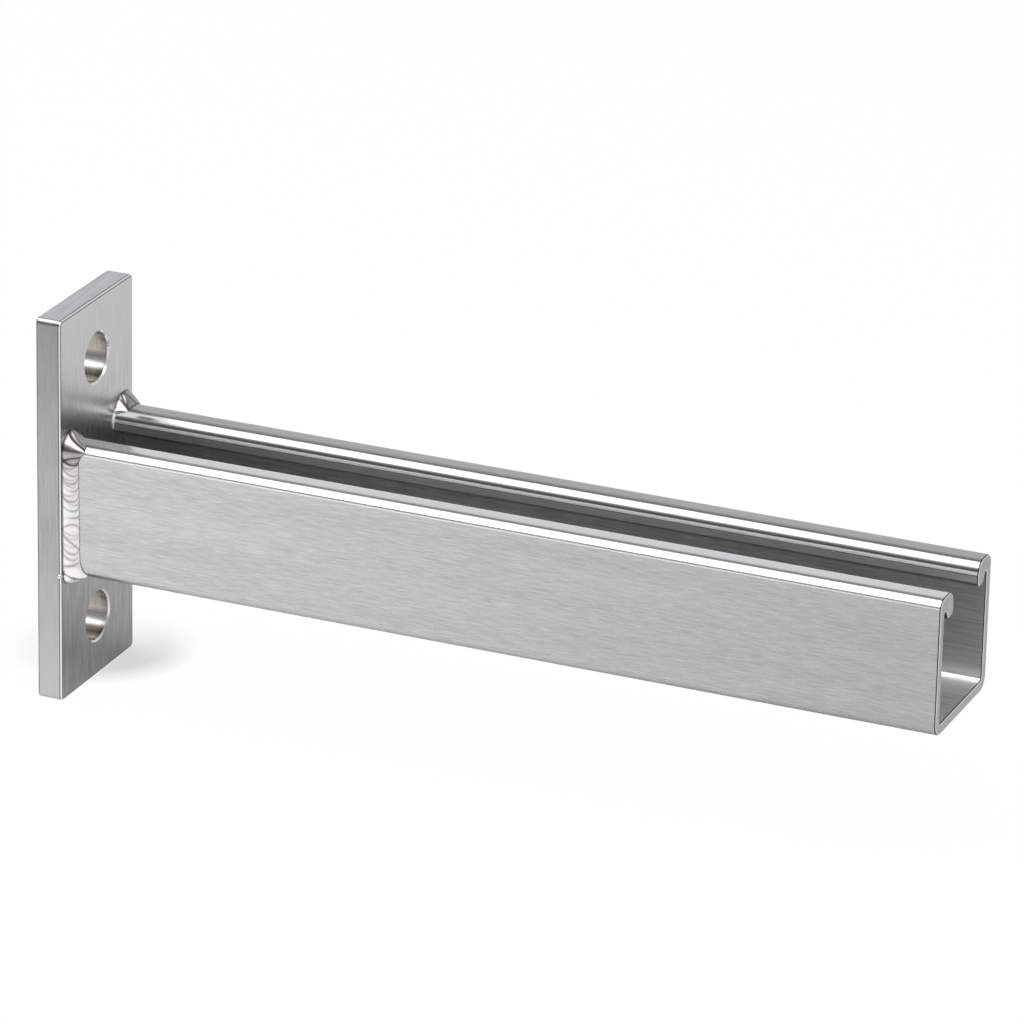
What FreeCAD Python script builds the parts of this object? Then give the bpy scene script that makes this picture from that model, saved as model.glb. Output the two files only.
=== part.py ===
import FreeCAD, Part
import math
import os

import Sketcher
from FreeCAD import Vector

# A welded cantilever arm of brushed stainless steel: an upright base plate with two bolt holes, and
# a rolled strut channel that stands out from it with its slot upwards.
# Millimetres. X runs out along the arm from the wall, Z is up, and the origin is the middle of the
# face of the plate that lies on the wall.

# Driving sizes
SIZES = {
    "plate_height": 118.0,
    "plate_thickness": 8.0,
    "plate_margin": 2.85,  # how far the plate stands out past each side of the channel
    "plate_corner_radius": 1.8,  # the four corners, seen from the front
    "plate_rim_radius": 0.8,  # all round the front and the back
    "hole_diameter": 15.0,
    "hole_pitch": 81.0,
    "hole_chamfer": 0.5,
    "arm_length": 268.0,  # from the front of the plate to the cut end
    "channel_width": 41.3,
    "channel_height": 41.3,
    "wall": 3.2,
    "bend_radius": 1.2,  # inside of the two bottom bends
    "lip_shoulder_radius": 1.5,  # tight turn where the outer wall meets the lip
    "lip_crown_radius": 3.9,  # easy turn from there up to the flat top
    "lip_crown_setback": 3.5,  # outer wall to where the flat top begins
    "lip_top": 3.0,  # width of the flat top
    "lip_roll_radius": 4.0,  # flat top down to the slot
    "lip_face": 1.9,  # flat upright face at the slot
    "lip_toe_radius": 1.5,  # slot face to the underside of the lip
    "lip_underside": 2.2,  # width of the flat underside
    "lip_heel_radius": 0.8,  # underside to the back of the lip
    "lip_back_slope": 60.0,  # degrees, back of the lip against the level
    "lip_gap": 1.9,  # wall to the back of the lip at the top of the groove
    "end_chamfer": 0.5,
    "weld_leg_on_arm": 4.3,
    "weld_leg_on_plate": 3.4,
    "weld_convexity": 0.9,
    "weld_ripple": 2.8,  # from one ripple of the bead to the next
    "weld_run_in": 7.0,  # the bead grows to full size over this length at each lip
}

# The share of its full size that the bead starts with
WELD_START_SHARE = 0.3

doc = FreeCAD.newDocument("cantilever_strut_arm")
sheet = doc.addObject("Spreadsheet::Sheet", "Sizes")
for row, (alias, value) in enumerate(SIZES.items(), start=1):
    sheet.set(f"A{row}", alias.replace("_", " "))
    sheet.set(f"B{row}", str(value))
    sheet.setAlias(f"B{row}", alias)
doc.recompute()


def size(alias):
    return float(sheet.get(alias))


def bind(thing, setting, formula):
    """Ties a setting to a formula in which each size is written by its alias."""
    for alias in sorted(SIZES, key=len, reverse=True):
        formula = formula.replace(f"<{alias}>", f"Sizes.{alias}")
    thing.setExpression(setting, formula)


def new_body(label):
    body = doc.addObject("PartDesign::Body", label)
    body.Label = label
    return body


def origin_plane(body, role):
    return next(plane for plane in body.Origin.OriginFeatures if plane.Role == role)


def new_sketch(body, name):
    """A sketch across the arm: its first axis is Y and its second is Z."""
    sketch = body.newObject("Sketcher::SketchObject", name)
    sketch.AttachmentSupport = [(origin_plane(body, "YZ_Plane"), "")]
    sketch.MapMode = "FlatFace"
    return sketch


def fix_size(sketch, name, formula, *constraint):
    """Adds a dimension to a sketch and ties it to the sheet."""
    index = sketch.addConstraint(Sketcher.Constraint(*constraint))
    sketch.renameConstraint(index, name)
    bind(sketch, f"Constraints.{name}", formula)


# Base plate: flat bar cut to length, corners and rims eased, drilled twice and lightly chamfered on
# both faces
def make_base_plate():
    body = new_body("base_plate")
    half_height = size("plate_height") / 2
    half_width = size("channel_width") / 2 + size("plate_margin")

    outline = new_sketch(body, "plate_outline")
    corners = [
        Vector(-half_width, -half_height),
        Vector(half_width, -half_height),
        Vector(half_width, half_height),
        Vector(-half_width, half_height),
    ]
    for start, end in zip(corners, corners[1:] + corners[:1]):
        outline.addGeometry(Part.LineSegment(start, end), False)
    for side in range(4):
        outline.addConstraint(Sketcher.Constraint("Coincident", side, 2, (side + 1) % 4, 1))
        direction = "Horizontal" if side % 2 == 0 else "Vertical"
        outline.addConstraint(Sketcher.Constraint(direction, side))
    outline.addConstraint(Sketcher.Constraint("Symmetric", 0, 1, 1, 2, -1, 1))
    width = 2 * half_width
    fix_size(outline, "width", "<channel_width> + 2 * <plate_margin>", "DistanceX", 0, 1, 0, 2, width)
    fix_size(outline, "height", "<plate_height>", "DistanceY", 1, 1, 1, 2, 2 * half_height)

    slab = body.newObject("PartDesign::Pad", "plate_slab")
    slab.Profile = outline
    bind(slab, "Length", "<plate_thickness>")
    doc.recompute()

    cut_corners = []
    for number, edge in enumerate(slab.Shape.Edges, start=1):
        if edge.BoundBox.XLength > size("plate_thickness") / 2:
            cut_corners.append(f"Edge{number}")
    rounded = body.newObject("PartDesign::Fillet", "plate_rounded_corners")
    rounded.Base = (slab, cut_corners)
    bind(rounded, "Radius", "<plate_corner_radius>")
    doc.recompute()

    face_edges = []
    for number, edge in enumerate(rounded.Shape.Edges, start=1):
        if edge.BoundBox.XLength < size("plate_thickness") / 2:
            face_edges.append(f"Edge{number}")
    eased = body.newObject("PartDesign::Fillet", "plate_eased_rims")
    eased.Base = (rounded, face_edges)
    bind(eased, "Radius", "<plate_rim_radius>")
    doc.recompute()

    holes = new_sketch(body, "bolt_hole_circles")
    for side in (1, -1):
        centre = Vector(0, side * size("hole_pitch") / 2)
        holes.addGeometry(Part.Circle(centre, Vector(0, 0, 1), size("hole_diameter") / 2), False)
    holes.addConstraint(Sketcher.Constraint("PointOnObject", 0, 3, -2))
    holes.addConstraint(Sketcher.Constraint("Symmetric", 0, 3, 1, 3, -1, 1))
    holes.addConstraint(Sketcher.Constraint("Equal", 0, 1))
    fix_size(holes, "pitch", "<hole_pitch>", "DistanceY", 1, 3, 0, 3, size("hole_pitch"))
    fix_size(holes, "diameter", "<hole_diameter>", "Diameter", 0, size("hole_diameter"))

    bores = body.newObject("PartDesign::Pocket", "bolt_holes")
    bores.Profile = holes
    bores.Type = "ThroughAll"
    bores.Reversed = True
    doc.recompute()

    rims = []
    for number, edge in enumerate(bores.Shape.Edges, start=1):
        if edge.isClosed() and not edge.Degenerated:
            rims.append(f"Edge{number}")
    chamfers = body.newObject("PartDesign::Chamfer", "bolt_hole_chamfers")
    chamfers.Base = (bores, rims)
    bind(chamfers, "Size", "<hole_chamfer>")
    body.Tip = chamfers
    return body


def lip_corners():
    """Where the arcs of the lip are centred and where its back begins and ends."""
    outer = -size("channel_width") / 2
    top = size("channel_height") / 2
    shoulder_radius = size("lip_shoulder_radius")
    across = size("lip_crown_setback") - shoulder_radius
    along = size("lip_crown_radius") - shoulder_radius
    crown = Vector(outer + size("lip_crown_setback"), top - size("lip_crown_radius"))
    shoulder = Vector(outer + shoulder_radius, crown.y + math.sqrt(along**2 - across**2))
    roll = Vector(crown.x + size("lip_top"), top - size("lip_roll_radius"))
    toe_radius = size("lip_toe_radius")
    toe = Vector(roll.x + size("lip_roll_radius") - toe_radius, roll.y - size("lip_face"))
    heel_radius = size("lip_heel_radius")
    heel = Vector(toe.x - size("lip_underside"), toe.y - toe_radius + heel_radius)
    slope = math.radians(size("lip_back_slope"))
    outward = Vector(-math.sin(slope), -math.cos(slope))
    up_back = Vector(-math.cos(slope), math.sin(slope))
    back_start = heel + outward * heel_radius
    groove_edge = outer + size("wall") + size("lip_gap")
    back_end = back_start + up_back * ((back_start.x - groove_edge) / math.cos(slope))
    groove_radius = size("lip_gap") / (1 + math.sin(slope))
    groove = back_end + outward * groove_radius
    return {
        "crown": crown,
        "shoulder": shoulder,
        "roll": roll,
        "toe": toe,
        "heel": heel,
        "back_start": back_start,
        "back_end": back_end,
        "groove": groove,
        "groove_radius": groove_radius,
    }


def arc(centre, radius, start, end):
    """An arc of a circle in the sketch, from one angle to another in degrees, anticlockwise."""
    circle = Part.Circle(centre, Vector(0, 0, 1), radius)
    return Part.ArcOfCircle(circle, math.radians(start), math.radians(end))


# Strut channel: cold rolled from strip, with two square bends below and a rolled lip on each wall.
# Half of its section is drawn, from the middle of the floor up one wall and round the lip.
def make_strut_channel():
    body = new_body("strut_channel")
    wall = size("wall")
    outer = -size("channel_width") / 2
    bottom = -size("channel_height") / 2
    top = -bottom
    bend = size("bend_radius")
    bend_centre = Vector(outer + wall + bend, bottom + wall + bend)
    lip = lip_corners()
    crown, shoulder, roll, toe, heel = (
        lip[name] for name in ("crown", "shoulder", "roll", "toe", "heel")
    )
    groove, back_start, back_end = lip["groove"], lip["back_start"], lip["back_end"]
    join = 90 + math.degrees(math.atan2(crown.x - shoulder.x, shoulder.y - crown.y))
    slot = toe.x + size("lip_toe_radius")
    underside = toe.y - size("lip_toe_radius")
    slope = size("lip_back_slope")

    section = new_sketch(body, "half_section")
    pieces = {
        "floor": Part.LineSegment(Vector(0, bottom), Vector(bend_centre.x, bottom)),
        "bend": arc(bend_centre, bend + wall, 180, 270),
        "side": Part.LineSegment(Vector(outer, bend_centre.y), Vector(outer, shoulder.y)),
        "shoulder": arc(shoulder, size("lip_shoulder_radius"), join, 180),
        "crown": arc(crown, size("lip_crown_radius"), 90, join),
        "top": Part.LineSegment(Vector(crown.x, top), Vector(roll.x, top)),
        "roll": arc(roll, size("lip_roll_radius"), 0, 90),
        "slot_face": Part.LineSegment(Vector(slot, roll.y), Vector(slot, toe.y)),
        "toe": arc(toe, size("lip_toe_radius"), 270, 360),
        "underside": Part.LineSegment(Vector(toe.x, underside), Vector(heel.x, underside)),
        "heel": arc(heel, size("lip_heel_radius"), 270 - slope, 270),
        "back": Part.LineSegment(back_start, back_end),
        "groove": arc(groove, lip["groove_radius"], 90 - slope, 180),
        "inner_side": Part.LineSegment(
            Vector(outer + wall, groove.y), Vector(outer + wall, bend_centre.y)
        ),
        "inner_bend": arc(bend_centre, bend, 180, 270),
        "inner_floor": Part.LineSegment(
            Vector(bend_centre.x, bottom + wall), Vector(0, bottom + wall)
        ),
        "middle": Part.LineSegment(Vector(0, bottom + wall), Vector(0, bottom)),
    }
    number = {name: section.addGeometry(piece, False) for name, piece in pieces.items()}

    # An arc runs anticlockwise, so on the way round it is met end first if it turns clockwise
    ends = {name: (1, 2) for name in pieces}
    for name in ("bend", "shoulder", "crown", "roll", "toe", "heel"):
        ends[name] = (2, 1)
    way_round = list(pieces)
    for name, follower in zip(way_round, way_round[1:] + way_round[:1]):
        square = "middle" in (name, follower)
        section.addConstraint(
            Sketcher.Constraint(
                "Coincident" if square else "Tangent",
                number[name],
                ends[name][1],
                number[follower],
                ends[follower][0],
            )
        )
    for name in ("floor", "inner_floor", "top", "underside"):
        section.addConstraint(Sketcher.Constraint("Horizontal", number[name]))
    for name in ("side", "slot_face", "inner_side"):
        section.addConstraint(Sketcher.Constraint("Vertical", number[name]))
    section.addConstraint(Sketcher.Constraint("PointOnObject", number["middle"], 1, -2))
    section.addConstraint(Sketcher.Constraint("PointOnObject", number["middle"], 2, -2))

    def fix(name, formula, *constraint):
        fix_size(section, name, formula, *constraint)

    fix("half_width", "<channel_width> / 2", "DistanceX", number["side"], 1, -1, 1, -outer)
    fix("below", "<channel_height> / 2", "DistanceY", number["floor"], 1, -1, 1, top)
    fix("above", "<channel_height> / 2", "DistanceY", -1, 1, number["roll"], 2, top)
    fix("floor_wall", "<wall>", "DistanceY", number["middle"], 2, number["middle"], 1, wall)
    fix("side_wall", "<wall>", "DistanceX", number["side"], 1, number["inner_side"], 2, wall)
    fix("inner_bend", "<bend_radius>", "Radius", number["inner_bend"], bend)
    fix("outer_bend", "<bend_radius> + <wall>", "Radius", number["bend"], bend + wall)
    for name in ("shoulder", "crown", "roll", "toe", "heel"):
        alias = f"lip_{name}_radius"
        fix(f"{name}_radius", f"<{alias}>", "Radius", number[name], size(alias))
    setback = size("lip_crown_setback")
    fix("setback", "<lip_crown_setback>", "DistanceX", number["side"], 2, number["top"], 1, setback)
    lip_top = size("lip_top")
    fix("lip_top", "<lip_top>", "DistanceX", number["top"], 1, number["top"], 2, lip_top)
    face = size("lip_face")
    fix("face", "<lip_face>", "DistanceY", number["slot_face"], 2, number["slot_face"], 1, face)
    below = size("lip_underside")
    ends_of_underside = (number["underside"], 2, number["underside"], 1)
    fix("underside", "<lip_underside>", "DistanceX", *ends_of_underside, below)
    gap = size("lip_gap")
    fix("gap", "<lip_gap>", "DistanceX", number["inner_side"], 1, number["back"], 2, gap)
    slope_formula = "180 deg - <lip_back_slope> * 1 deg"
    fix("slope", slope_formula, "Angle", number["back"], math.radians(180 - slope))

    half = body.newObject("PartDesign::Pad", "half_channel")
    half.Profile = section
    bind(half, "Length", "<arm_length>")
    doc.recompute()

    whole = body.newObject("PartDesign::Mirrored", "whole_channel")
    whole.Originals = [half]
    whole.MirrorPlane = (origin_plane(body, "XZ_Plane"), [""])
    whole.Refine = True
    body.Tip = whole
    doc.recompute()

    cut_end = []
    for index, edge in enumerate(whole.Shape.Edges, start=1):
        if edge.BoundBox.XMin > size("arm_length") - size("end_chamfer"):
            cut_end.append(f"Edge{index}")
    deburred = body.newObject("PartDesign::Chamfer", "deburred_end")
    deburred.Base = (whole, cut_end)
    bind(deburred, "Size", "<end_chamfer>")
    body.Tip = deburred
    bind(body, "Placement.Base.x", "<plate_thickness>")
    doc.recompute()
    return body, channel_outline(section, number)


def channel_outline(section, number):
    """The edges of the drawn half that show from outside, from the underside of the lip to the
    middle of the floor, in the plane where the channel meets the plate."""
    names = ("toe", "slot_face", "roll", "top", "crown", "shoulder", "side", "bend", "floor")
    edges = [section.Geometry[number[name]].toShape() for name in names]
    for edge in edges:
        edge.Placement = section.Placement
    return edges


def joined(edges):
    return Part.Wire(Part.sortEdges(edges)[0])


def mirrored_across(shapes):
    return [shape.mirror(Vector(0, 0, 0), Vector(0, 1, 0)) for shape in shapes]


def filled_section(outline):
    """The channel with its inside filled up to the lips, as long as the bead is wide."""
    toe = outline[0]
    below_toe = Vector(0, toe.Curve.Center.y, toe.BoundBox.ZMin)
    across_slot = Part.LineSegment(below_toe, Vector(0, -below_toe.y, below_toe.z)).toShape()
    around = joined(outline + mirrored_across(outline) + [across_slot])
    return Part.Face(around).extrude(Vector(2 * size("weld_leg_on_arm"), 0, 0))


def weld_places(run, run_in):
    """Where each ripple of a run sits, the direction outwards there, and its share of full size."""
    count = max(2, round(run.Length / size("weld_ripple")))
    steps = run.discretize(Number=2 * count + 1)
    places = []
    for number in range(0, 2 * count + 1, 2):
        before = steps[max(number - 1, 0)]
        after = steps[min(number + 1, 2 * count)]
        along = (after - before).normalize()
        done = run.Length * number / (2 * count)
        share = min(1.0, WELD_START_SHARE + done / run_in) if run_in else 1.0
        places.append((steps[number], Vector(0, along.z, -along.y), share))
    return places


def weld_ripple(place, outward, share):
    """A ball that passes through the toe of the weld on the plate and its toe on the arm."""
    side_leg = size("plate_margin") - size("plate_rim_radius")
    leg_on_plate = share * math.hypot(side_leg * outward.y, size("weld_leg_on_plate") * outward.z)
    leg_on_arm = share * size("weld_leg_on_arm")
    convexity = share * size("weld_convexity")
    toe_to_toe = math.hypot(leg_on_plate, leg_on_arm)
    radius = (toe_to_toe**2 / 4 + convexity**2) / (2 * convexity)
    out_of_corner = (outward * leg_on_arm + Vector(leg_on_plate, 0, 0)) / toe_to_toe
    between_toes = place + outward * (leg_on_plate / 2) + Vector(leg_on_arm / 2, 0, 0)
    return Part.makeSphere(radius, between_toes - out_of_corner * (radius - convexity))


# Weld: one all-round bead laid in three runs, each a row of overlapping ripples that fills the
# corner between the plate and the outside of the channel. The side runs go over the lips.
def make_weld_run(label, run, run_in, room, filled):
    ripples = [weld_ripple(*place) for place in weld_places(run, run_in)]
    bead = ripples[0].multiFuse(ripples[1:])
    weld = doc.addObject("Part::Feature", label)
    weld.Label = label
    weld.Shape = bead.common(room).cut(filled).removeSplitter()
    bind(weld, "Placement.Base.x", "<plate_thickness>")
    return weld


def make_welds(outline):
    """The runs meet where the bottom bends end and the flat underside begins."""
    filled = filled_section(outline)
    floor = outline[-1]
    floor_end = floor.BoundBox.YMin
    reach = size("channel_width") + size("channel_height")
    room_below = Part.makeBox(reach, -2 * floor_end, reach, Vector(0, floor_end, -reach))
    room_beside = Part.makeBox(reach, reach, 2 * reach, Vector(0, -reach, -reach)).cut(room_below)
    side_run = joined(outline[:-1])
    bottom = floor.BoundBox.ZMin
    under_line = Part.LineSegment(Vector(0, floor_end, bottom), Vector(0, -floor_end, bottom))
    under_run = joined([under_line.toShape()])
    near = make_weld_run("near_side_weld", side_run, size("weld_run_in"), room_beside, filled)
    under = make_weld_run("underside_weld", under_run, 0, room_below, filled)
    far = doc.addObject("Part::Mirroring", "far_side_weld")
    far.Label = "far_side_weld"
    far.Source = near
    far.Normal = Vector(0, 1, 0)
    return [near, under, far]


base_plate = make_base_plate()
strut_channel, outline = make_strut_channel()
sub_parts = [base_plate, strut_channel] + make_welds(outline)
doc.recompute()

for thing in doc.Objects:
    if "Invalid" in thing.State or "Error" in thing.State:
        raise RuntimeError(f"{thing.Label} did not compute")
for part in sub_parts:
    if part.Shape.isNull() or not part.Shape.isValid():
        raise RuntimeError(f"{part.Label} has no valid shape")

os.makedirs("parts", exist_ok=True)
for part in sub_parts:
    part.Shape.exportStep(f"parts/{part.Label}.step")
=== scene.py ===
import math
import random

import bpy
from mathutils import Matrix, Vector


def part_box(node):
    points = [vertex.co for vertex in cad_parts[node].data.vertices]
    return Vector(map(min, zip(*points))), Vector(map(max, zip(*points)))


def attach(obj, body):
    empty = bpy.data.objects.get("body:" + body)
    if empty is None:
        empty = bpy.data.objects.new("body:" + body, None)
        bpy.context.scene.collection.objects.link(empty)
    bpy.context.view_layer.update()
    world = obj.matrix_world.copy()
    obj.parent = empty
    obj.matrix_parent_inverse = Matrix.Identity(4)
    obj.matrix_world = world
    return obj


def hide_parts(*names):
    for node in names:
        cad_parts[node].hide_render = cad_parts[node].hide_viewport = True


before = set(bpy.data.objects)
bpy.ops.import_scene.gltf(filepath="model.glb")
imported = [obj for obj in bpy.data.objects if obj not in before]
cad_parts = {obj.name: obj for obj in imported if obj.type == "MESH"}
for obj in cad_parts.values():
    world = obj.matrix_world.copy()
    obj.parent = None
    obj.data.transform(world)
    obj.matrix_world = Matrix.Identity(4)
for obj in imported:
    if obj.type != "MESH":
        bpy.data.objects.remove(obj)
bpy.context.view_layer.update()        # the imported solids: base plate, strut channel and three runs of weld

# Base plate
# A length of stainless flat bar, 8 mm thick, sheared and dressed on a belt so that its corners and
# rims are eased. Two bolt holes are drilled through it and lightly chamfered on both faces.
MM = 0.001
PLATE_CORNER = 1.8 * MM
PLATE_RIM = 0.8 * MM
HOLE_RADIUS = 7.5 * MM
HOLE_CHAMFER = 0.5 * MM
HOLE_PITCH = 81.0 * MM
NEAR = 0.1 * MM
plate_low, plate_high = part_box("base_plate")
plate_front = plate_high.x


def pick(piece, kind, test):
    """Opens the piece for editing with only those edges or faces selected that pass the test. The
    test is given the places of their points."""
    bpy.ops.object.mode_set(mode="EDIT")
    bpy.ops.mesh.select_mode(type=kind)
    bpy.ops.mesh.select_all(action="DESELECT")
    bpy.ops.object.mode_set(mode="OBJECT")
    for element in piece.data.edges if kind == "EDGE" else piece.data.polygons:
        points = [piece.data.vertices[number].co for number in element.vertices]
        element.select = test(points)
    bpy.ops.object.mode_set(mode="EDIT")


def across_at(x):
    """A test for edges that lie across the arm at one distance from the wall."""
    return lambda ends: all(abs(end.x - x) < NEAR for end in ends)


def named(name, size=(1, 1, 1)):
    """Names the primitive that was just added and puts its size and place into its mesh."""
    piece = bpy.context.object
    piece.name = name
    piece.data.name = name
    piece.scale = size
    bpy.ops.object.transform_apply(location=True, rotation=True, scale=True)
    return piece


def hold(piece):
    """Selects one piece and makes it the active one."""
    bpy.ops.object.select_all(action="DESELECT")
    piece.select_set(True)
    bpy.context.view_layer.objects.active = piece


def apply_modifier(piece, kind, **settings):
    """Adds a modifier with its settings and applies it."""
    hold(piece)
    modifier = piece.modifiers.new(kind.lower(), kind)
    for setting, value in settings.items():
        setattr(modifier, setting, value)
    bpy.ops.object.modifier_apply(modifier=modifier.name)


def shade(piece, degrees):
    """Smooth shading across edges flatter than the angle, with flat faces kept flat."""
    hold(piece)
    bpy.ops.object.shade_smooth_by_angle(angle=math.radians(degrees))
    apply_modifier(piece, "WEIGHTED_NORMAL", keep_sharp=True, weight=100)


bpy.ops.object.select_all(action="DESELECT")
plate_size = plate_high - plate_low
bpy.ops.mesh.primitive_cube_add(size=1, location=(plate_low + plate_high) / 2)
plate = named("dressed_plate", plate_size)
pick(plate, "EDGE", lambda ends: abs(ends[0].x - ends[1].x) > plate_size.x / 2)
bpy.ops.mesh.bevel(offset=PLATE_CORNER, segments=8)
for face_x in (plate_low.x, plate_high.x):
    pick(plate, "EDGE", across_at(face_x))
    bpy.ops.mesh.bevel(offset=PLATE_RIM, segments=8)
bpy.ops.object.mode_set(mode="OBJECT")

# Each drill is one turned cutter: chamfer, bore and chamfer, run a little past both faces
PAST = 0.5 * MM
flare = (HOLE_RADIUS + HOLE_CHAMFER + PAST) / HOLE_RADIUS
bore_length = plate_size.x - 2 * HOLE_CHAMFER
for side in (1, -1):
    bpy.ops.object.select_all(action="DESELECT")
    bpy.ops.mesh.primitive_circle_add(
        vertices=96,
        radius=HOLE_RADIUS * flare,
        fill_type="NGON",
        location=(plate_low.x - PAST, 0, side * HOLE_PITCH / 2),
        rotation=(0, math.radians(90), 0),
    )
    drill = named("drill")
    pick(drill, "FACE", lambda points: True)
    for length, growth in (
        (HOLE_CHAMFER + PAST, 1 / flare),
        (bore_length, 1),
        (HOLE_CHAMFER + PAST, flare),
    ):
        bpy.ops.mesh.extrude_region_move(TRANSFORM_OT_translate={"value": (length, 0, 0)})
        bpy.ops.transform.resize(value=(1, growth, growth))
    bpy.ops.mesh.select_all(action="SELECT")
    bpy.ops.mesh.normals_make_consistent(inside=False)
    bpy.ops.object.mode_set(mode="OBJECT")
    apply_modifier(plate, "BOOLEAN", object=drill, operation="DIFFERENCE", solver="EXACT")
    bpy.data.objects.remove(drill)
shade(plate, 35)


def linear(colour):
    """An sRGB hex colour as linear red, green, blue and alpha."""
    parts = [int(colour[place:place + 2], 16) / 255 for place in (1, 3, 5)]
    low_end, offset, slope, power = 0.04045, 0.055, 12.92, 2.4
    parts = [p / slope if p <= low_end else ((p + offset) / (1 + offset)) ** power for p in parts]
    return (*parts, 1.0)


def add(material, kind, values=None, links=None, **settings):
    """Adds a shader node to a material, with its sockets' values, its links and its settings."""
    node = material.node_tree.nodes.new("ShaderNode" + kind)
    for setting, value in settings.items():
        setattr(node, setting, value)
    for socket, value in (values or {}).items():
        node.inputs[socket].default_value = value
    for socket, source in (links or {}).items():
        material.node_tree.links.new(source, node.inputs[socket])
    return node


def new_material(name):
    """A material that has no nodes yet."""
    material = bpy.data.materials.new(name)
    material.use_nodes = True
    material.node_tree.nodes.clear()
    return material


# The noise of the grain stays near a half, so its colours and its gloss are spread over this part
TONE_RANGE = (0.36, 0.64)
GLOSS_RANGE = (0.35, 0.65)
GLOSS_CHANGE = 0.04
CLOUD_SIZE = 12
CLOUD_SHARE = 0.2
STREAK_DEPTH = 0.02 * MM


def brushed_steel(name, light, dark, grain, roughness, bump):
    """Stainless steel worked along one axis. The grain is the size of one streak in metres along
    X, Y and Z. Streaks of that size and of half of it show in tone, gloss and relief, and broad
    clouds twelve times as large show in tone and gloss."""
    steel = new_material(name)
    place = add(steel, "TexCoord").outputs["Object"]
    patterns = []
    for finer in (1, 2, 1 / CLOUD_SIZE):
        scale = [finer / length for length in grain]
        stretched = add(steel, "Mapping", {"Scale": scale}, {"Vector": place}).outputs["Vector"]
        pattern = add(
            steel,
            "TexNoise",
            {"Scale": 1.0, "Detail": 2.0, "Roughness": 0.5},
            {"Vector": stretched},
        )
        patterns.append(pattern.outputs["Fac"])
    coarse, fine, cloud = patterns
    lines = add(steel, "Mix", {"Factor": 0.5}, {"A": coarse, "B": fine}).outputs[0]
    tone = add(steel, "Mix", {"Factor": CLOUD_SHARE}, {"A": lines, "B": cloud}).outputs[0]
    colour = add(steel, "ValToRGB", {}, {"Fac": tone})
    for stop, position, shown in zip(colour.color_ramp.elements, TONE_RANGE, (dark, light)):
        stop.position = position
        stop.color = linear(shown)
    gloss = {
        "From Min": GLOSS_RANGE[0],
        "From Max": GLOSS_RANGE[1],
        "To Min": roughness + GLOSS_CHANGE,
        "To Max": roughness - GLOSS_CHANGE,
    }
    dull = add(steel, "MapRange", gloss, {"Value": tone}).outputs["Result"]
    surface = {"Base Color": colour.outputs["Color"], "Roughness": dull}
    if bump:
        depth = {"Strength": bump, "Distance": STREAK_DEPTH}
        surface["Normal"] = add(steel, "Bump", depth, {"Height": lines}).outputs["Normal"]
    shader = add(steel, "BsdfPrincipled", {"Metallic": 1.0}, surface, name="shader")
    add(steel, "OutputMaterial", {}, {"Surface": shader.outputs["BSDF"]})
    return steel


def where(steel, *limits, most=1.0):
    """A mask for part of a surface: full where all the limits are met, and fading out past each.
    A limit is what it goes by, an axis, and the values where the mask is nothing and full. It goes
    by Object, the surface's place in metres, or by Normal, the way it faces from -1 to 1. An axis
    in bars counts both ways alike. It can also go by a Mark that the mesh carries, by its name."""
    mask = None
    for what, axis, nothing, full in limits:
        if what == "Mark":
            value = add(steel, "Attribute", attribute_name=axis).outputs["Fac"]
        else:
            whole = add(steel, "TexCoord").outputs[what]
            parts = add(steel, "SeparateXYZ", {}, {"Vector": whole}).outputs
            value = parts[axis.strip("|")]
        if "|" in axis:
            value = add(steel, "Math", {}, {0: value}, operation="ABSOLUTE").outputs[0]
        reach = {"From Min": nothing, "From Max": full, "To Max": most if mask is None else 1.0}
        share = add(steel, "MapRange", reach, {"Value": value}).outputs["Result"]
        if mask is not None:
            share = add(steel, "Math", {}, {0: mask, 1: share}, operation="MULTIPLY").outputs[0]
        mask = share
    return mask


def lay_over(steel, mask, colour, way="MIX"):
    """Lays a colour over what a material already shows, as far as the mask is above zero. With
    MULTIPLY it darkens what is there and leaves the grain in it."""
    base = steel.node_tree.nodes["shader"].inputs["Base Color"]
    under = base.links[0].from_socket
    mixed = add(
        steel,
        "MixRGB",
        {"Color2": linear(colour)},
        {"Fac": mask, "Color1": under},
        blend_type=way,
    ).outputs["Color"]
    steel.node_tree.links.new(mixed, base)


def roughen(steel, mask, roughness):
    """Changes a material's roughness as far as the mask is above zero."""
    base = steel.node_tree.nodes["shader"].inputs["Roughness"]
    under = base.links[0].from_socket
    mixed = add(steel, "Mix", {"B": roughness}, {"Factor": mask, "A": under}).outputs[0]
    steel.node_tree.links.new(mixed, base)


def painted_edge_lines(steel, lines):
    """Paints lines along the rounded or chamfered edges round a face across the arm: painted highlights
    and painted shade. Each has its colour and where it starts, is full, begins to fade and ends, as
    the edge turns from facing sideways, which is 0, to facing along the arm, which is 1."""
    for colour, start, full, fading, end in lines:
        line = where(steel, ("Normal", "|X|", start, full), ("Normal", "|X|", end, fading))
        lay_over(steel, line, colour)


# Along each eased rim a painted highlight line, with a painted dark line where it runs out on each flat
RIM_PAINTED_LINES = (
    ("#5E5E5D", 0.03, 0.1, 0.3, 0.4),
    ("#4C4C4B", 0.9, 0.95, 0.985, 0.997),
    ("#F2F2F0", 0.4, 0.5, 0.82, 0.9),
)
# Bar brushed up and down on its faces and sides: soft upright streaks of grey. Here and below the
# grain is drawn a little coarser than real brushing, so that it shows
bar = brushed_steel(
    "stainless_bar_brushed", "#B5B5B4", "#9D9D9C", (0.6 * MM, 1.3 * MM, 14 * MM), 0.3, bump=0.1
)
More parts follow.
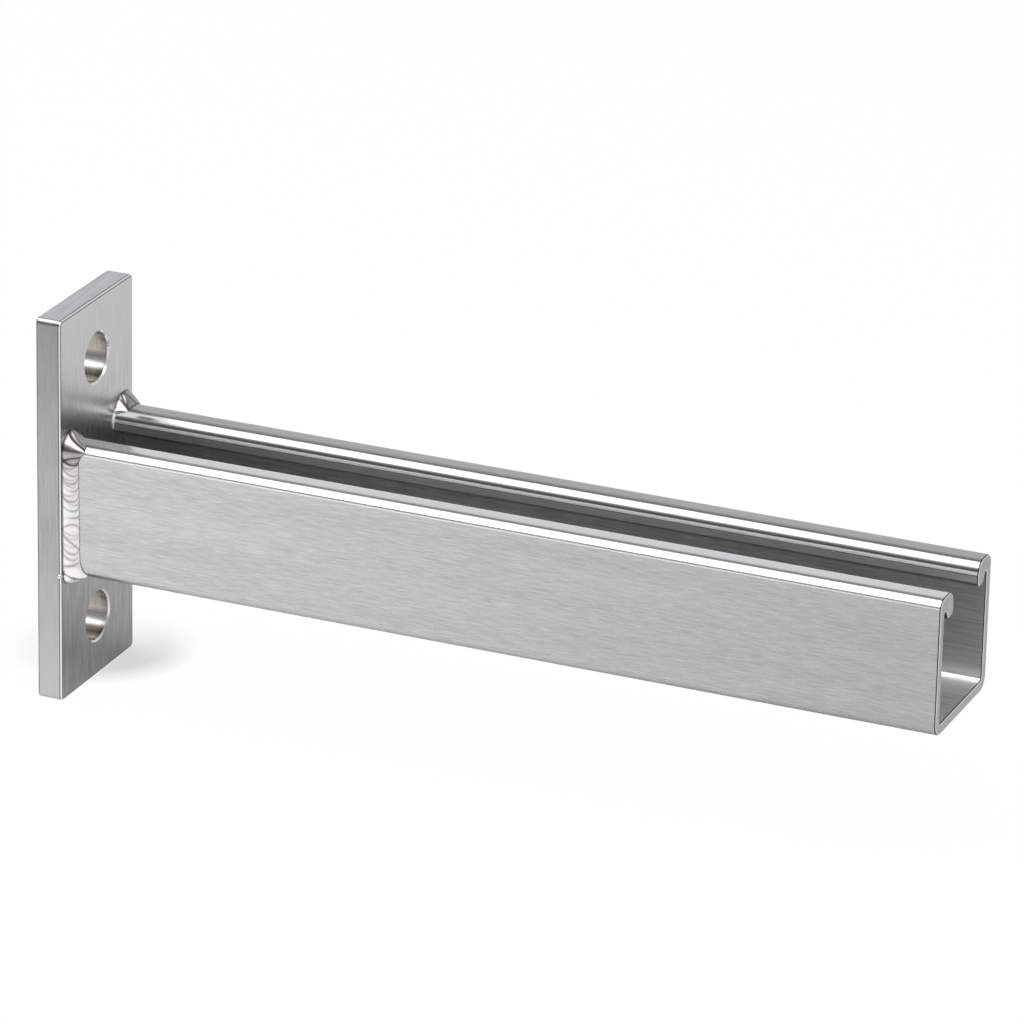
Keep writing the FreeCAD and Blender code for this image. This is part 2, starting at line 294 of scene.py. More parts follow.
# Painted shade and reflection: the front is painted paler at the top and greyer at the bottom, and
# the sides the other way. Each change has the heights in mm where it starts and is full
forwards = ("Normal", "|X|", 0.3, 0.7)
sideways = ("Normal", "|X|", 0.7, 0.3)
for facing_so, start, full, colour, way in (
    (forwards, -10, 60, "#C4C4C3", "MIX"),
    (forwards, 12, -26, "#E4E4E3", "MULTIPLY"),
    (sideways, 10, 70, "#747473", "MIX"),
    (sideways, -10, -70, "#D0D0CF", "MIX"),
):
    lay_over(bar, where(bar, facing_so, ("Object", "Z", start * MM, full * MM)), colour, way)
# The sides were brushed with a lighter hand, which left less grain on them
lay_over(bar, where(bar, sideways, most=0.35), "#A9A9A8")
painted_edge_lines(bar, RIM_PAINTED_LINES)
# The cut ends are dressed across the bar: the same steel, paler, with the streaks along Y
bar_end = brushed_steel(
    "stainless_bar_end_dressed", "#E2E2E4", "#CACACC", (1.2 * MM, 30 * MM, 1.2 * MM), 0.26, bump=0
)
painted_edge_lines(bar_end, RIM_PAINTED_LINES)
# The bores are marked round by the drill, in broad soft lines with a slight warm tint
drilled = brushed_steel(
    "stainless_bore_drilled", "#F2F0ED", "#E2E0DD", (0.5 * MM, 6 * MM, 6 * MM), 0.3, bump=0.08
)
# Painted shade over the pale bore: greyer above the middle and in a band below it, and dark towards
# the bottom, by how far the wall faces up; the pale band left between is a painted highlight
for colour, *limits in (
    ("#BAB8B5", ("Normal", "Z", 0.16, 0.04)),
    ("#B4B2AF", ("Normal", "Z", 0.04, 0.16), ("Normal", "Z", 0.4, 0.3)),
    ("#A8A6A3", ("Normal", "Z", 0.62, 0.76)),
    ("#8C8A88", ("Normal", "Z", 0.66, 0.8), ("Normal", "Z", 0.96, 0.9)),
):
    lay_over(drilled, where(drilled, *limits), colour, "MULTIPLY")
# Painted lines round each chamfer: a dark painted shade line where it meets the bore, and a painted highlight
# on it
painted_edge_lines(drilled, (("#3C3A38", 0.05, 0.3, 0.5, 0.6), ("#F6F6F4", 0.5, 0.6, 0.9, 1.0)))

plate_steels = [bar, bar_end, drilled]
for steel in plate_steels:
    plate.data.materials.append(steel)
for face in plate.data.polygons:
    from_hole = Vector((face.center.y, abs(face.center.z) - HOLE_PITCH / 2)).length
    if from_hole < HOLE_RADIUS + HOLE_CHAMFER and abs(face.normal.x) < 0.9:
        face.material_index = plate_steels.index(drilled)
    elif abs(face.normal.z) > 0.7:
        face.material_index = plate_steels.index(bar_end)
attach(plate, "root")
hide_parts("base_plate")

# Strut channel
# Cold rolled from one strip of stainless steel: a floor, two walls, and a thick lip rolled in at
# the top of each wall to grip a channel nut. The rolls leave it brushed along its length.
WALL = 3.2 * MM
BEND = 1.2 * MM
SHOULDER = 1.5 * MM
CROWN = 3.9 * MM
CROWN_SETBACK = 3.5 * MM
LIP_TOP = 3.0 * MM
ROLL = 4.0 * MM
SLOT_FACE = 1.9 * MM
TOE = 1.5 * MM
UNDERSIDE = 2.2 * MM
HEEL = 0.8 * MM
BACK_SLOPE = math.radians(60)
LIP_GAP = 1.9 * MM
END_EASING = 0.5 * MM
channel_low, channel_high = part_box("strut_channel")
outer, bottom, top = channel_low.y, channel_low.z, channel_high.z

# The arcs of the lip's outline, across the arm: where each is centred, as (across, up)
bend_centre = (outer + WALL + BEND, bottom + WALL + BEND)
crown_centre = (outer + CROWN_SETBACK, top - CROWN)
crown_turn = math.asin((CROWN_SETBACK - SHOULDER) / (CROWN - SHOULDER))
shoulder_centre = (outer + SHOULDER, crown_centre[1] + (CROWN - SHOULDER) * math.cos(crown_turn))
roll_centre = (crown_centre[0] + LIP_TOP, top - ROLL)
toe_centre = (roll_centre[0] + ROLL - TOE, roll_centre[1] - SLOT_FACE)
heel_centre = (toe_centre[0] - UNDERSIDE, toe_centre[1] - TOE + HEEL)
back_start = (
    heel_centre[0] - HEEL * math.sin(BACK_SLOPE),
    heel_centre[1] - HEEL * math.cos(BACK_SLOPE),
)
back_across = outer + WALL + LIP_GAP
back_up = back_start[1] + (back_start[0] - back_across) * math.tan(BACK_SLOPE)
groove = LIP_GAP / (1 + math.sin(BACK_SLOPE))
groove_centre = (outer + WALL + groove, back_up - groove * math.cos(BACK_SLOPE))
back_end = (
    groove_centre[0] + groove * math.sin(BACK_SLOPE),
    groove_centre[1] + groove * math.cos(BACK_SLOPE),
)

bpy.ops.object.select_all(action="DESELECT")
bpy.ops.mesh.primitive_plane_add(
    size=1,
    location=((channel_low.x + channel_high.x) / 2, bend_centre[0] / 2, bottom),
)
channel = named("rolled_channel", (channel_high.x - channel_low.x, -bend_centre[0], 1))
pick(channel, "EDGE", lambda ends: all(end.y < bend_centre[0] + NEAR for end in ends))


def draw_to(across, up, pen):
    """Draws the strip on in a straight run from where the pen is to a new place."""
    step = (0, across - pen[0], up - pen[1])
    bpy.ops.mesh.extrude_region_move(TRANSFORM_OT_translate={"value": step})


def draw_round(centre, radius, start, turn, steps):
    """Draws the strip on round an arc, clockwise where the turn is negative. Angles are in degrees
    from straight across. Returns where the pen ends."""
    bpy.ops.mesh.spin(
        steps=steps, angle=-math.radians(turn), center=(0, *centre), axis=(1, 0, 0)
    )
    end = math.radians(start + turn)
    return (centre[0] + radius * math.cos(end), centre[1] + radius * math.sin(end))


# Half of the section, from the edge of the flat floor up the wall, round the lip and back inside
lean = math.degrees(crown_turn)
slope = math.degrees(BACK_SLOPE)
pen = draw_round(bend_centre, WALL + BEND, 270, -90, steps=12)
draw_to(outer, shoulder_centre[1], pen)
draw_round(shoulder_centre, SHOULDER, 180, lean - 90, steps=10)
pen = draw_round(crown_centre, CROWN, 90 + lean, -lean, steps=14)
draw_to(roll_centre[0], top, pen)
pen = draw_round(roll_centre, ROLL, 90, -90, steps=20)
draw_to(pen[0], toe_centre[1], pen)
pen = draw_round(toe_centre, TOE, 0, -90, steps=10)
draw_to(heel_centre[0], pen[1], pen)
pen = draw_round(heel_centre, HEEL, 270, -slope, steps=6)
draw_to(*back_end, pen)
pen = draw_round(groove_centre, groove, 90 - slope, 90 + slope, steps=10)
draw_to(pen[0], bend_centre[1], pen)
pen = draw_round(bend_centre, BEND, 180, 90, steps=8)
draw_to(0, bottom + WALL, pen)
bpy.ops.object.mode_set(mode="OBJECT")
apply_modifier(channel, "MIRROR", use_axis=(False, True, False), merge_threshold=0.01 * MM)
for end_x in (channel_low.x, channel_high.x):
    pick(channel, "EDGE", across_at(end_x))
    bpy.ops.mesh.edge_face_add()
bpy.ops.mesh.select_all(action="SELECT")
bpy.ops.mesh.normals_make_consistent(inside=False)
pick(channel, "EDGE", across_at(channel_high.x))
bpy.ops.mesh.bevel(offset=END_EASING, segments=3)
bpy.ops.object.mode_set(mode="OBJECT")
shade(channel, 30)

# Strip as the rolls leave it: pale grey, with long faint lines and broad soft clouds along the arm
strip = brushed_steel(
    "stainless_strip_rolled", "#CDCDCC", "#B5B5B4", (9 * MM, 0.44 * MM, 0.44 * MM), 0.28, bump=0.1
)
# The rolls rub the lips smoother than the walls, so that they mirror the room in sharper bands
lip_steel = brushed_steel(
    "stainless_lip_burnished", "#C8C8C8", "#B6B6B6", (30 * MM, 0.5 * MM, 0.5 * MM), 0.16, bump=0.05
)
# Inside, where no tool rubs it, the strip keeps a duller skin with long soft streaks
inside = brushed_steel(
    "stainless_strip_inside", "#E2E2E1", "#BABAB9", (20 * MM, 0.8 * MM, 0.8 * MM), 0.36, bump=0.05
)
# Painted highlight: the inner bends are painted brighter, fading up the wall and in along the floor
floor_top = bottom + WALL
inner_face = -outer - WALL
up_wall = ("Object", "Z", floor_top + 4.5 * MM, floor_top)
lay_over(inside, where(inside, ("Normal", "Z", 0.99, 0.9), up_wall), "#FFFFFF")
along_floor = ("Object", "|Y|", inner_face - 13 * MM, inner_face - 2 * MM)
lay_over(inside, where(inside, ("Normal", "Z", 0.9, 0.99), along_floor), "#F4F4F4")
# The lips' slot faces are rubbed pale by what slides between them, and their undersides get painted shade
slot_edge = -roll_centre[0] - ROLL
lip_foot = toe_centre[1] - TOE
on_lip = ("Object", "Z", lip_foot - TOE, lip_foot - TOE / 2)
slotwards = ("Object", "|Y|", slot_edge + 0.85 * MM, slot_edge + 0.45 * MM)
lay_over(inside, where(inside, on_lip, slotwards), "#EAEAEA")
lay_over(inside, where(inside, on_lip, ("Normal", "Z", -0.02, -0.3)), "#505050")
# The near lip is made lighter than the far one, and the outer shoulders of both are satin
lay_over(lip_steel, where(lip_steel, ("Object", "Y", 0.0, -MM)), "#F2F2F2")
crown_line, shoulder_line = -crown_centre[0], -shoulder_centre[0]
outwards = ("Object", "|Y|", crown_line + 0.25 * MM, crown_line + 1.25 * MM)
roughen(lip_steel, where(lip_steel, outwards), 0.27)
# Where the crown turns over into the shoulder a darker line is painted: a painted dark reflection
past_crown = ("Object", "|Y|", crown_line + 0.45 * MM, crown_line + 1.25 * MM)
to_shoulder = ("Object", "|Y|", shoulder_line - 0.1 * MM, shoulder_line - 0.4 * MM)
lay_over(lip_steel, where(lip_steel, past_crown, to_shoulder), "#B6B6B6", "MULTIPLY")
# A pale, dull line is painted along the lower corner of each lip: a painted reflection, made rougher
corner_up = roll_centre[1]
painted_reflection_line = where(
    lip_steel,
    ("Object", "Z", corner_up + 0.1 * MM, corner_up + 0.3 * MM),
    ("Object", "Z", corner_up + 1.3 * MM, corner_up + 1.1 * MM),
    ("Object", "|Y|", slot_edge + 1.25 * MM, slot_edge + 0.85 * MM),
)
lay_over(lip_steel, painted_reflection_line, "#FFFFFF")
roughen(lip_steel, painted_reflection_line, 0.55)
# The cut end is sawn and rubbed flat: greyer and duller, with fine lines up and down
sawn = brushed_steel(
    "stainless_end_sawn", "#BEBEBE", "#A8A8A8", (0.5 * MM, 0.5 * MM, 3 * MM), 0.34, bump=0.1
)

# Round the eased cut end, a painted dark shade line and a painted highlight line
END_PAINTED_LINES = (("#3E3E3D", 0.05, 0.12, 0.66, 0.76), ("#F6F6F4", 0.66, 0.76, 0.95, 0.995))
channel_steels = [strip, lip_steel, sawn, inside]
for steel in channel_steels:
    painted_edge_lines(steel, END_PAINTED_LINES)
    channel.data.materials.append(steel)
for face in channel.data.polygons:
    within_walls = abs(face.center.y) < -outer - WALL / 2
    above_floor = face.center.z > bottom + WALL / 2
    steel = strip
    if face.normal.x > 0.3:
        steel = sawn
    elif within_walls and above_floor and face.center.z < roll_centre[1]:
        steel = inside
    elif within_walls and above_floor or face.center.z > shoulder_centre[1]:
        steel = lip_steel
    face.material_index = channel_steels.index(steel)
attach(channel, "root")
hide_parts("strut_channel")

# Weld
# One bead of stainless filler, laid by hand all round the channel in three runs, in the corner
# between it and the plate. It is left as laid: bright, with shallow ripples, and heaped where it
# crosses the lips.
# A run is a sheet of rows along it and sides across it. At each toe two sides are sunk in the steel
ROW = 0.2 * MM
SIDES = 44
SUNK_SIDES = 2
SUNK = 0.2 * MM
ROUNDED_END = 2.5 * MM
# Each curve of the corner between channel and plate is followed in this many steps
ARC_STEPS = 24
# A crease is a narrow cut, with the rest of its depth in a wider one round it
CREASE_WIDTH = 0.26 * MM
NARROW_SHARE = 0.65
# The painted shade of a crease is darkest from this depth on, and a toe has painted shade over this
# share of the leg
DARK_CREASE = 0.2 * MM
TOE_SHARE = 0.14
# Creases and swells are left out beyond this, in their own widths and in the square of them
CREASE_REACH = 6
SWELL_REACH = 9
# Heights where the heaps on the lips and the thin collars above them start and are full
HEAP_FOOT, HEAP_FULL = 14.5 * MM, 16.5 * MM
COLLAR_FOOT, COLLAR_FULL = 28.6 * MM, 29.6 * MM


def facing(bearing):
    """The direction across the arm at a bearing in degrees: 0 is +Y and 90 is up."""
    return Vector((0, math.cos(math.radians(bearing)), math.sin(math.radians(bearing))))


# The line where the near half of the channel meets the plate, from the slot over the lip, down the
# wall and under the floor: places, with the way that the channel faces there
corner = [(Vector((plate_front, roll_centre[0] + ROLL, toe_centre[1])), facing(0))]
for centre, radius, first, last in (
    (roll_centre, ROLL, 0, 90),
    (crown_centre, CROWN, 90, 90 + lean),
    (shoulder_centre, SHOULDER, 90 + lean, 180),
    (bend_centre, WALL + BEND, 180, 270),
):
    for step in range(ARC_STEPS + 1):
        faces = facing(first + (last - first) * step / ARC_STEPS)
        corner.append((Vector((plate_front, *centre)) + faces * radius, faces))
corner.append((Vector((plate_front, -bend_centre[0], bottom)), facing(270)))
corner_rows = [(spot.y, spot.z, faces.y, faces.z) for spot, faces in corner]

# Heights along that line, which on the wall are real heights and go on by length past its ends
corner_heights = [0.0]
for (spot, _), (next_spot, _) in zip(corner, corner[1:]):
    corner_heights.append(corner_heights[-1] - (next_spot - spot).length)
wall_start = next(number for number, (spot, faces) in enumerate(corner) if faces.y < -0.99999)
shift = corner[wall_start][0].z - corner_heights[wall_start]
corner_heights = [height + shift for height in corner_heights]
slot_height = corner_heights[0]
bend_height, far_bend_height = corner_heights[-2:]


def between(stops, rows, height):
    """The row of values at a height, in a list that goes down."""
    for number in range(len(stops) - 1):
        if height >= stops[number + 1] or number == len(stops) - 2:
            share = (stops[number] - height) / (stops[number] - stops[number + 1])
            share = min(max(share, 0.0), 1.0)
            return [a + (b - a) * share for a, b in zip(rows[number], rows[number + 1])]


def crease_depth(creases, height, across):
    """How deep the creases are at a height and a place across the bead. They get shallower towards
    the toes."""
    depth = 0.0
    for lowest, rise, slant, cut, deeper in creases:
        line = lowest * MM + (rise * across * across + slant * across) * MM
        off = (height - line) / CREASE_WIDTH
        if abs(off) < CREASE_REACH:
            narrow, wide = math.exp(-off * off), math.exp(-off * off / 8)
            share = NARROW_SHARE * narrow + (1 - NARROW_SHARE) * wide
            depth += cut * MM * share * max(1 + deeper * across, 0)
    return depth * (1 - 0.7 * across ** 4)


def swell_rise(swells, height, across):
    """How far the swells stand out at a height and a place across the bead."""
    lift = 0.0
    for middle, at, half_along, half_across, rise in swells:
        off = ((height / MM - middle) / half_along) ** 2 + ((across - at) / half_across) ** 2
        if off < SWELL_REACH:
            lift += rise * MM * math.exp(-off)
    return lift


def bead(name, first, last, legs, creases, swells=(), far=False):
    """Lays one run with rounded ends between two heights, as rows of points that go from the arm
    to the plate and down into both. A far run is mirrored over to the far side. Sizes in the lists
    are in mm, and places across the bead go from -1 on the arm to 1 on the plate. The legs are
    rows of height, leg on the arm, leg on the plate and how flat the face is: 1 is round and 2 is
    straight. A crease has its height in the middle of the bead, its rise towards the toes, its
    slant, its depth and how much deeper it gets towards the plate. A swell has its height, its
    place across, its half sizes both ways and its rise."""
    bpy.ops.object.select_all(action="DESELECT")
    rows = round((first - last) / ROW)
    bpy.ops.mesh.primitive_grid_add(x_subdivisions=rows, y_subdivisions=SIDES, size=1)
    run = named(name)
    for mark in ("crease", "toe", "heap", "collar"):
        run.data.attributes.new(mark, "FLOAT", "POINT")
    leg_heights = [row[0] * MM for row in legs]
    leg_rows = [row[1:] for row in legs]
    for number, vertex in enumerate(run.data.vertices):
        height = first + (last - first) * (vertex.co.x + 0.5)
        side = round((vertex.co.y + 0.5) * SIDES)
        y, z, out_y, out_z = between(corner_heights, corner_rows, height)
        foot, out = Vector((plate_front, y, z)), Vector((0, out_y, out_z)).normalized()
        on_arm, on_plate, flat = between(leg_heights, leg_rows, height)
        from_end = min(first - height, height - last, ROUNDED_END) / ROUNDED_END
        taper = math.sqrt(max(1 - (1 - from_end) ** 2, 0.01)) * MM
        round_face = (side - SUNK_SIDES) / (SIDES - 2 * SUNK_SIDES)
        turn = math.radians(90) * min(max(round_face, 0.0), 1.0)
        along_arm = on_arm * taper * max(math.cos(turn), 0) ** flat
        outward = on_plate * taper * max(math.sin(turn), 0) ** flat
        across = math.degrees(turn) / 45 - 1
        depth = crease_depth(creases, height, across)
        lift = swell_rise(swells, height, across)
        growth = 1 + (lift - depth) / math.hypot(along_arm, outward)
        if side in (0, SIDES):
            along_arm = outward = -SUNK
        elif side == 1:
            along_arm, outward = along_arm * growth, -SUNK
        elif side == SIDES - 1:
            along_arm, outward = -SUNK, outward * growth
        else:
            along_arm, outward = along_arm * growth, outward * growth
        vertex.co = foot + Vector((along_arm, 0, 0)) + out * outward
        near_toe = min(outward / on_plate, along_arm / on_arm) / MM / TOE_SHARE
        for mark, share in (
            ("crease", depth / DARK_CREASE),
            ("toe", 1 - near_toe),
            ("heap", (height - HEAP_FOOT) / (HEAP_FULL - HEAP_FOOT)),
            ("collar", (height - COLLAR_FOOT) / (COLLAR_FULL - COLLAR_FOOT)),
        ):
            run.data.attributes[mark].data[number].value = min(max(share, 0.0), 1.0)
    if far:
        run.scale = (1, -1, 1)
        bpy.ops.object.transform_apply(location=False, rotation=False, scale=True)
    pick(run, "FACE", lambda points: True)
    bpy.ops.mesh.remove_doubles(threshold=MM / 1000)
    bpy.ops.mesh.fill_holes(sides=0)
    bpy.ops.mesh.select_all(action="SELECT")
    bpy.ops.mesh.normals_make_consistent(inside=False)
    bpy.ops.object.mode_set(mode="OBJECT")
    hold(run)
    bpy.ops.object.shade_smooth_by_angle(angle=math.radians(60))
    return run


# Near side: heaped on the lip in two bright lumps, rippled down the wall, with a crater where the
# hand stopped, and wide and smooth round the lower corner
near_legs = (
    (34.0, 1.0, 0.5, 1.4),
    (29.3, 1.2, 0.8, 1.6),
    (27.9, 2.2, 1.0, 1.7),
    (25.8, 2.6, 1.6, 1.7),
    (24.4, 3.1, 2.9, 1.7),
    (22.8, 4.3, 3.4, 1.6),
    (20.6, 6.2, 2.9, 1.5),
    (18.8, 6.3, 2.4, 1.4),
    (17.0, 4.9, 2.1, 1.2),
    (15.6, 4.5, 2.0, 1.2),
    (-12.0, 4.7, 2.0, 1.2),
    (-15.0, 4.8, 2.05, 1.15),
    (-17.5, 5.4, 2.1, 1.1),
    (-19.5, 6.4, 2.1, 1.1),
    (-24.0, 6.6, 2.0, 1.1),
)
near_creases = (
    (26.6, -0.3, -1.2, 0.14, 0.0),
    (24.1, 0.0, 1.5, 0.14, 0.3),
    (20.7, 0.5, 1.6, 0.36, -0.3),
    (17.3, -0.6, -0.9, 0.24, -0.2),
    (15.3, 1.2, 0.5, 0.34, -0.2),
    (14.2, 1.6, -0.9, 0.14, 0.9),
    (13.2, 1.5, 0.2, 0.08, -0.6),
    (11.9, 2.1, 0.7, 0.16, 0.3),
    (10.6, 1.3, -0.4, 0.1, 0.9),
    (9.4, 2.2, -0.2, 0.17, -0.3),
    (8.4, 1.5, 0.6, 0.09, 0.9),
    (7.1, 2.0, 0.2, 0.12, -0.7),
    (5.7, 1.2, -0.6, 0.1, 0.8),
    (3.9, 2.1, -0.3, 0.17, 0.2),
    (2.9, 1.6, 0.7, 0.08, -0.9),
    (1.0, 1.6, 0.2, 0.14, -0.3),
    (-1.1, 0.15, -0.1, 0.13, -0.8),
    (-3.1, -1.9, 0.0, 0.14, 0.2),
    (-6.6, 1.4, 0.3, 0.1, 0.3),
    (-7.8, 2.1, 0.1, 0.08, -0.6),
    (-9.2, 0.4, 2.6, 0.17, 0.2),
    (-10.2, 1.7, -0.3, 0.07, 0.8),
    (-12.4, 2.3, 0.1, 0.15, 0.1),
    (-14.2, 2.3, -0.2, 0.13, 0.5),
    (-15.7, 0.5, -1.2, 0.14, 0.7),
)
near_swells = (
    (22.9, 0.45, 1.4, 0.45, 0.5),
    (18.9, -0.45, 1.3, 0.4, 0.7),
    (16.6, 0.3, 0.9, 0.7, -0.3),
    (-5.2, -0.15, 0.8, 0.28, -0.22),
    (-5.2, -0.15, 1.9, 0.8, 0.2),
    (-19.0, -0.1, 2.2, 0.9, 0.35),
)
near_bead = bead(
    "near_side_bead", slot_height, bend_height + 1 * MM, near_legs, near_creases, near_swells
)
# A ball of spatter stuck to the edge of the plate beside the run
SPATTER_RADIUS = 0.7 * MM
bpy.ops.mesh.primitive_uv_sphere_add(
    segments=24,
    ring_count=12,
    location=(plate_front - 0.4 * MM, plate_low.y - 0.1 * MM, -19.4 * MM),
)
spatter = named("spatter", (SPATTER_RADIUS, SPATTER_RADIUS, SPATTER_RADIUS))
spatter.data.shade_smooth()
near_bead.select_set(True)
bpy.context.view_layer.objects.active = near_bead
bpy.ops.object.join()

# Underside and far side: the same hand, with uneven ripples drawn from a fixed seed
hand = random.Random(7)


def uneven_creases(first, last):
    """Creases 1 to 2.6 mm apart between two heights."""
    creases = []
    height = first
    while height > last:
        rise, slant = hand.uniform(1.4, 2.1), hand.uniform(-0.4, 0.4)
        creases.append((height, rise, slant, hand.uniform(0.06, 0.15), hand.uniform(-0.5, 0.5)))
        height -= hand.uniform(1.0, 2.6)
    return creases


under_legs = (
    (-17.0, 2.4, 3.0, 1.1),
    (-21.0, 2.8, 3.3, 1.0),
    (-26.0, 4.2, 3.0, 1.1),
    (-60.0, 4.2, 3.0, 1.1),
)
under_bead = bead(
    "underside_bead",
    bend_height + 5.5 * MM,
    far_bend_height - 1 * MM,
    under_legs,
    uneven_creases(-25, -56),
)
far_legs = (
    (34.0, 0.5, 0.5, 1.2),
    (29.3, 0.6, 0.6, 1.2),
    (28.9, 1.8, 0.8, 1.8),
    (27.9, 4.0, 1.0, 1.9),
    (25.8, 4.1, 2.4, 1.9),
    (24.0, 4.2, 3.6, 1.9),
    (21.0, 4.3, 3.8, 1.8),
    (18.9, 4.3, 2.9, 1.4),
    (16.5, 4.3, 2.0, 1.15),
    (-14.0, 4.4, 2.0, 1.15),
    (-18.0, 5.2, 2.4, 1.1),
    (-22.0, 5.0, 3.0, 1.1),
    (-25.0, 4.4, 3.0, 1.1),
)
lip_creases = ((25.7, 0.0, -2.2, 0.16, 0.2), (22.9, 0.0, 0.8, 0.14, 0.2))
far_bead = bead(
    "far_side_bead",
    slot_height,
    bend_height - 4 * MM,
    far_legs,
    (*lip_creases, *uneven_creases(15, -19)),
    far=True,
)

# Weld metal cools bright, with a slight straw tint. The creases and toes get painted shade, the
# heaps on the lips are painted greyer as shade with darker painted shade in their creases and at their
# toes, and the thin collars above them are painted white as a highlight and made dull
as_laid = brushed_steel(
    "stainless_weld_as_laid", "#F6F5F2", "#ECEBE8", (0.9 * MM, 0.9 * MM, 0.9 * MM), 0.2, bump=0.08
)
in_crease, at_toe, on_heap, on_collar = (
    ("Mark", mark, 0, 1) for mark in ("crease", "toe", "heap", "collar")
)
for colour, *limits in (
    ("#A09E9B", in_crease),
    ("#6E6C6A", at_toe),
    ("#B4B2AF", on_heap),
    ("#4A4846", on_heap, in_crease),
    ("#444240", on_heap, at_toe),
    ("#FFFFFF", on_collar),
):
    lay_over(as_laid, where(as_laid, *limits), colour)
roughen(as_laid, where(as_laid, on_collar), 0.7)
for run, node in (
    (near_bead, "near_side_weld"),
    (under_bead, "underside_weld"),
    (far_bead, "far_side_weld"),
):
    run.data.materials.clear()
    run.data.materials.append(as_laid)
    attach(run, "root")
    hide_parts(node)

# Studio
# A wide white paper floor that the plate stands on, in a pale room. Low down in front the room is
# bright and above that it is dark, up to a large softbox that hangs overhead and forward, which the
# rolled lips show as white bands.
FLOOR_SIZE = 16
bpy.ops.object.select_all(action="DESELECT")
bpy.ops.mesh.primitive_plane_add(size=FLOOR_SIZE, location=(0, 0, plate_low.z))
floor = named("floor")
paper = new_material("white_paper")
rays = add(paper, "LightPath").outputs
on_floor = add(paper, "TexCoord").outputs["Object"]
# The camera sees the paper nearly plain white, with its own shade left in close to the plate's foot
FOOT = (-2 * MM, 20 * MM, plate_low.z)
SHADE_TO, WHITE_FROM = 20 * MM, 31 * MM
WHITE_BY_FOOT, WHITE_FAR_OFF = 0.55, 0.985
from_foot = add(
    paper, "VectorMath", {1: FOOT}, {0: on_floor}, operation="DISTANCE"
).outputs["Value"]
whitening = {
    "From Min": SHADE_TO,
    "From Max": WHITE_FROM,
    "To Min": WHITE_BY_FOOT,
    "To Max": WHITE_FAR_OFF,
}
clean = add(paper, "MapRange", whitening, {"Value": from_foot}).outputs["Result"]
to_camera = add(
    paper, "Math", {}, {0: rays["Is Camera Ray"], 1: clean}, operation="MULTIPLY"
).outputs[0]
# The steel mirrors it with this share of white over its own shade
WHITE_MIRRORED = 0.35
mirrored = add(
    paper,
    "Math",
    {},
    {0: rays["Is Glossy Ray"], 1: rays["Is Transmission Ray"]},
    operation="MAXIMUM",
).outputs[0]
whiteness = add(
    paper, "Math", {1: WHITE_MIRRORED}, {0: mirrored, 2: to_camera}, operation="MULTIPLY_ADD"
).outputs[0]
# In reflections that white darkens away from the plate: along X, and a third as much towards -Y
FORWARD_SHARE = 0.35
DARK_END, DARKEST = 270 * MM, 0.1
apart = add(paper, "SeparateXYZ", {}, {"Vector": on_floor}).outputs
away = add(
    paper, "Math", {1: -FORWARD_SHARE}, {0: apart["Y"], 2: apart["X"]}, operation="MULTIPLY_ADD"
).outputs[0]
darkening = {"From Min": 0.0, "From Max": DARK_END, "To Min": 1.0, "To Max": DARKEST}
dimmed = add(paper, "MapRange", darkening, {"Value": away}).outputs["Result"]
strength = add(
    paper, "Math", {}, {0: rays["Is Camera Ray"], 1: dimmed}, operation="MAXIMUM"
).outputs[0]
lit = add(paper, "BsdfDiffuse", {"Color": linear("#F4F4F4")}).outputs[0]
glow = add(paper, "Emission", {"Color": linear("#FFFFFF")}, {"Strength": strength}).outputs[0]
shown = add(paper, "MixShader", {}, {0: whiteness, 1: lit, 2: glow}).outputs[0]
add(paper, "OutputMaterial", {}, {"Surface": shown})
floor.data.materials.append(paper)

# The room round it, from the level, which is 0, to straight overhead, which is 1. Its front and
# its back meet softly, over this much to either side of square
MEETING = 0.15
room = bpy.data.worlds.new("studio")
bpy.context.scene.world = room
room.use_nodes = True
room.node_tree.nodes.clear()
direction = add(room, "TexCoord").outputs["Generated"]
ways = add(room, "SeparateXYZ", {}, {"Vector": direction}).outputs
walls = []
for heights in (
    ((0.0, "#F0F0F0"), (0.12, "#E8E8E8"), (0.22, "#646466"), (0.5, "#646466"), (0.62, "#CACACC")),
    ((0.0, "#E2E2E4"), (0.4, "#D6D6D8"), (0.74, "#BCBCBE"), (0.88, "#808082")),
):
    wall = add(room, "ValToRGB", {}, {"Fac": ways["Z"]})
    stops = wall.color_ramp.elements
    for stop, (height, colour) in zip(stops, (heights[0], heights[-1])):
        stop.position = height
        stop.color = linear(colour)
    for height, colour in heights[1:-1]:
        stops.new(height).color = linear(colour)
    walls.append(wall.outputs["Color"])
front_wall, back_wall = walls
backwards = add(
    room, "MapRange", {"From Min": -MEETING, "From Max": MEETING}, {"Value": ways["Y"]}
).outputs["Result"]
all_round = add(
    room, "MixRGB", {}, {"Fac": backwards, "Color1": front_wall, "Color2": back_wall}
).outputs["Color"]
daylight = add(room, "Background", {"Strength": 1.0}, {"Color": all_round}).outputs[0]
add(room, "OutputWorld", {}, {"Surface": daylight})

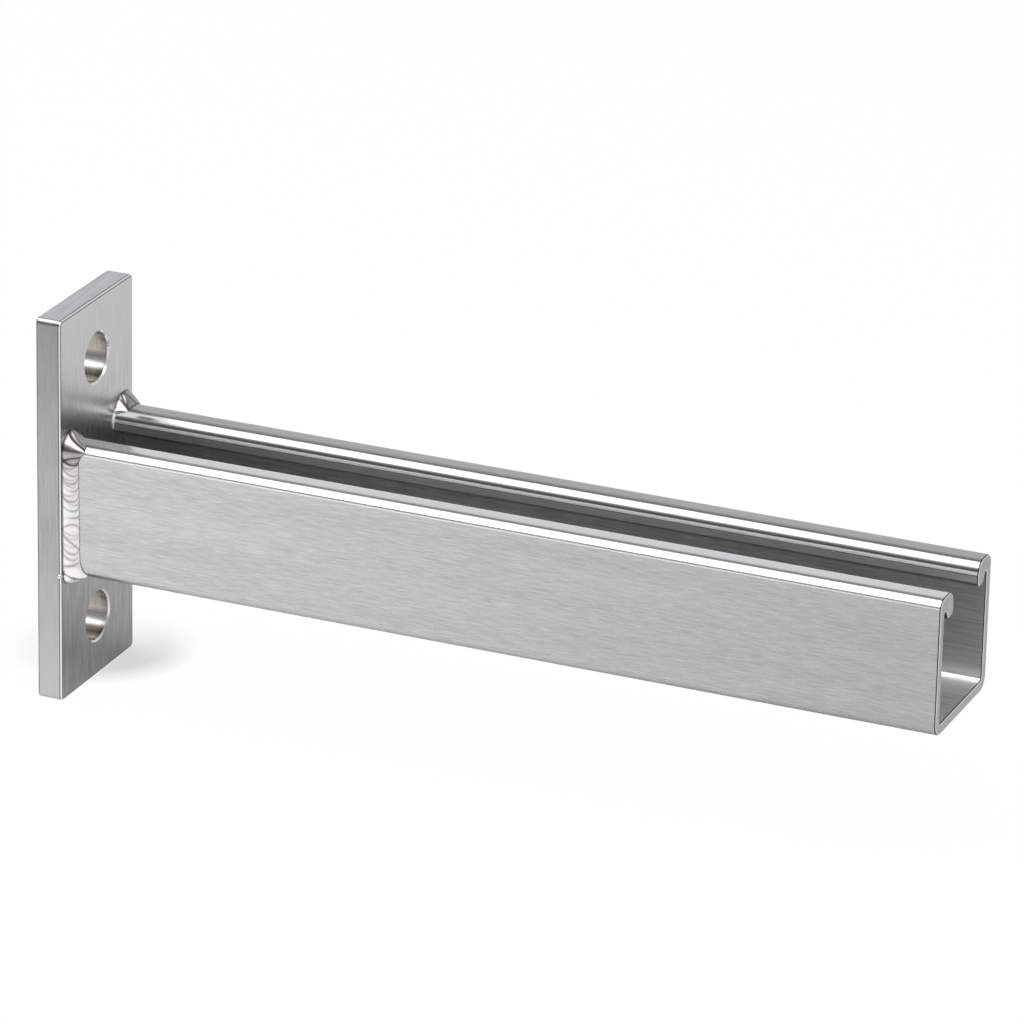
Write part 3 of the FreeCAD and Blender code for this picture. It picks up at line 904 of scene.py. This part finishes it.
# The softbox is 3.6 m along the arm and 1.22 m across it, 1.1 m above the arm, and faces down
SOFTBOX_LENGTH, SOFTBOX_WIDTH = 3.6, 1.22
SOFTBOX_RADIANCE = 2.1
lamp = bpy.data.lights.new("overhead", "AREA")
lamp.shape = "RECTANGLE"
lamp.size = SOFTBOX_LENGTH
lamp.size_y = SOFTBOX_WIDTH
lamp.energy = SOFTBOX_RADIANCE * math.pi * SOFTBOX_LENGTH * SOFTBOX_WIDTH
softbox = bpy.data.objects.new("overhead", lamp)
bpy.context.scene.collection.objects.link(softbox)
softbox.location = (0.1, -0.39, 1.1)

# Camera
# A long lens almost two metres off, turned a little past square to the arm's near side, towards its
# open end, and raised enough to see into the slot.
AZIMUTH = math.radians(22.85)
ELEVATION = math.radians(21.82)
ROLL_ANGLE = math.radians(1.24)
DISTANCE = 1.9241
FOCAL_PIXELS = 6596
FRAME_PIXELS = 1024
AIM_RIGHT, AIM_UP = 0.12095, -0.00715
back = Vector(
    (
        math.sin(AZIMUTH) * math.cos(ELEVATION),
        -math.cos(AZIMUTH) * math.cos(ELEVATION),
        math.sin(ELEVATION),
    )
)
right = Vector((math.cos(AZIMUTH), math.sin(AZIMUTH), 0))
up = back.cross(right)
rolled_right = right * math.cos(ROLL_ANGLE) + up * math.sin(ROLL_ANGLE)
rolled_up = up * math.cos(ROLL_ANGLE) - right * math.sin(ROLL_ANGLE)
aim = Vector((plate_front, 0, 0)) + rolled_right * AIM_RIGHT + rolled_up * AIM_UP
lens = bpy.data.cameras.new("camera")
lens.sensor_width = 36
lens.lens = FOCAL_PIXELS / FRAME_PIXELS * lens.sensor_width
lens.clip_start = 0.1
lens.clip_end = 50
camera = bpy.data.objects.new("camera", lens)
bpy.context.scene.collection.objects.link(camera)
looking = Matrix((rolled_right, rolled_up, back)).transposed().to_4x4()
camera.matrix_world = Matrix.Translation(aim + back * DISTANCE) @ looking
bpy.context.scene.camera = camera
bpy.context.scene.view_settings.view_transform = "Standard"
